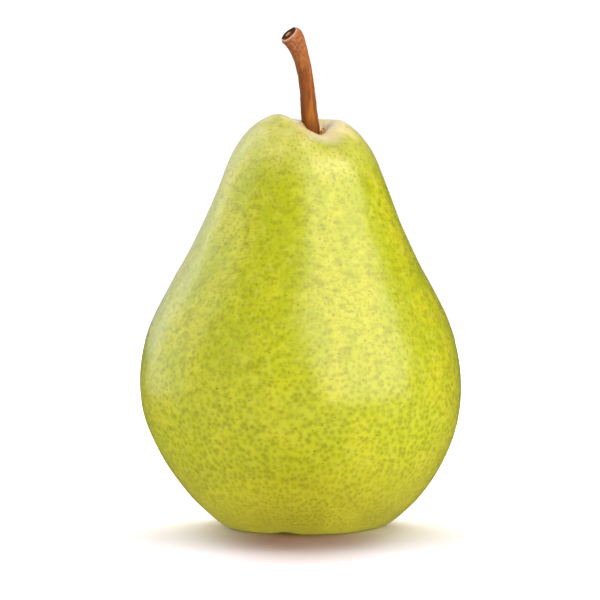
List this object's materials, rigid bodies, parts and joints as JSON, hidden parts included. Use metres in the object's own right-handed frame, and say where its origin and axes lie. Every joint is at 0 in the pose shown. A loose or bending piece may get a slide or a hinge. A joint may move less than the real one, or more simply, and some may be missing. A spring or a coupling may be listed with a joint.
{
  "type": "pear",
  "caption": "Whole ripe pear standing on its base: broad lobed body, narrow neck, curved woody stalk and dried calyx.",
  "frame": {"origin": "middle of the pear's box at its base, on the surface it rests on", "axes": "+Z from the base up to the stalk's tip, +X to the right as seen from the front, -Y towards the viewer"},
  "size_m": [0.0722, 0.0712, 0.1128],
  "materials": {
    "pear_skin": "satin",
    "stalk_bark": "satin",
    "dried_scale": "matte",
    "dried_sepal": "matte",
    "dried_stamen": "matte"
  },
  "bodies": {
    "root": {"fruit": "pear_skin", "stalk": "stalk_bark", "foot_scale": "dried_scale", "sepal_1": "dried_sepal", "sepal_2": "dried_sepal", "sepal_3": "dried_sepal", "sepal_4": "dried_sepal", "sepal_5": "dried_sepal", "stamen_tuft": "dried_stamen"}
  },
  "joints": []
}
